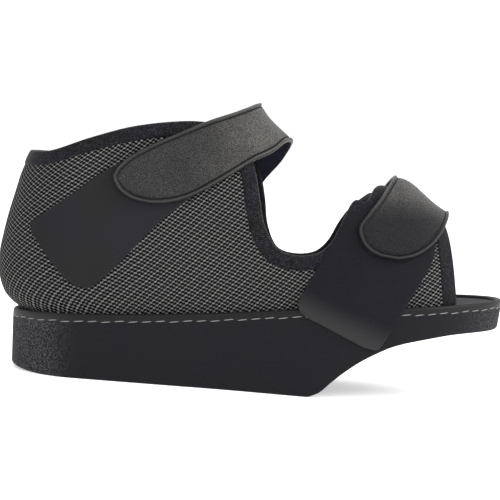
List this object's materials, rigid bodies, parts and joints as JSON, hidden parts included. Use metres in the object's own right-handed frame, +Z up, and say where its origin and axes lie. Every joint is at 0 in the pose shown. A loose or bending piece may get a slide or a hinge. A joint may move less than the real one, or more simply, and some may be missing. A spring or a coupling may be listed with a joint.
{
  "type": "post_operative_shoe",
  "caption": "Right post-operative forefoot relief shoe: wedge sole, open toe mesh upper, bound edges and padded wrap straps that close on the outer side",
  "frame": {"origin": "on the floor plane, midway along the flat that the sole stands on, on the shoe's lengthwise axis", "axes": "+X towards the toe, +Y towards the inner side of the foot, +Z up"},
  "size_m": [0.2905, 0.0969, 0.1615],
  "materials": {
    "sole_foam": "matte black closed-cell foam with a fine pebbled grain",
    "rim_skin": "smooth dark grey rim band with a row of grey stitches",
    "lining": "black brushed lining",
    "spacer_mesh": "black and grey open spacer mesh",
    "binding": "black woven edge binding",
    "strap_leatherette": "pebble-grained charcoal leatherette, stitched at the edge",
    "loop_pile": "short black loop pile"
  },
  "bodies": {
    "root": {"sole": "sole_foam", "rim": "rim_skin", "insole": "lining", "upper": "spacer_mesh", "edge_binding": "binding", "ankle_strap": "strap_leatherette", "forefoot_strap": "strap_leatherette", "ankle_panel": "loop_pile", "forefoot_panel": "loop_pile"}
  },
  "joints": []
}
